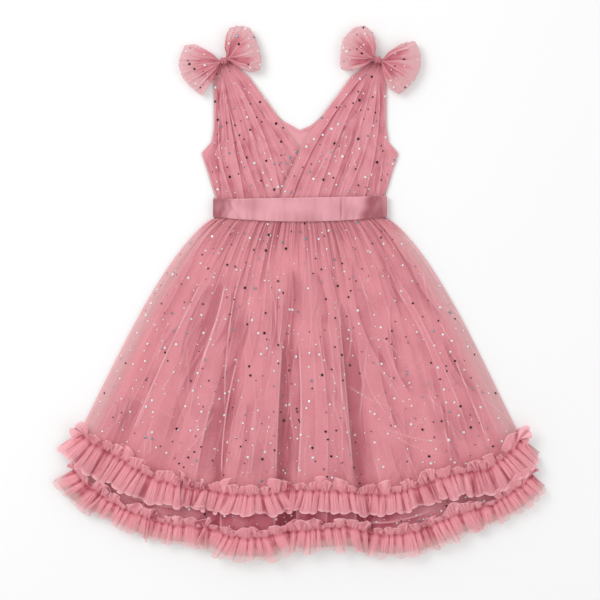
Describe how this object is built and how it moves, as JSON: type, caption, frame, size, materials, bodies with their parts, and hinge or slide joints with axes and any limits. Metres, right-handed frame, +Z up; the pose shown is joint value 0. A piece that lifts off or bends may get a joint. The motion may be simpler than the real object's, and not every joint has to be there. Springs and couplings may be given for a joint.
{
  "type": "toddler party dress",
  "caption": "Sleeveless toddler party dress of spotted tulle laid flat, with crossed pleated bodice, satin sash, gathered skirt, ruffled tiers and shoulder bows.",
  "frame": {"origin": "on the surface, under the middle of the dress's bounding box", "axes": "+Z up from the surface, +Y from the hem towards the shoulders, +X across the dress, to the right as seen from above"},
  "size_m": [0.6174, 0.6676, 0.0292],
  "materials": {
    "spotted_tulle": "soft sheer tulle with small foil spots",
    "plain_tulle": "soft sheer tulle, gathered",
    "satin": "glossy satin ribbon",
    "lining": "smooth satin lining"
  },
  "bodies": {
    "root": {"bodice_back_left": "spotted_tulle", "bodice_back_right": "spotted_tulle", "neck_lining": "lining", "wrap_under": "spotted_tulle", "wrap_over": "spotted_tulle", "sash_front": "satin", "sash_back": "satin", "skirt_back": "spotted_tulle", "skirt_front": "spotted_tulle", "skirt_lining": "lining", "under_skirt_back": "spotted_tulle", "under_skirt_front": "spotted_tulle", "ruffle_upper_front": "plain_tulle", "ruffle_lower_front": "plain_tulle", "ruffle_upper_back": "plain_tulle", "ruffle_lower_back": "plain_tulle", "bow_left_outer": "spotted_tulle", "bow_left_inner": "spotted_tulle", "bow_left_knot": "spotted_tulle", "bow_right_inner": "spotted_tulle", "bow_right_outer": "spotted_tulle", "bow_right_knot": "spotted_tulle"}
  },
  "joints": []
}
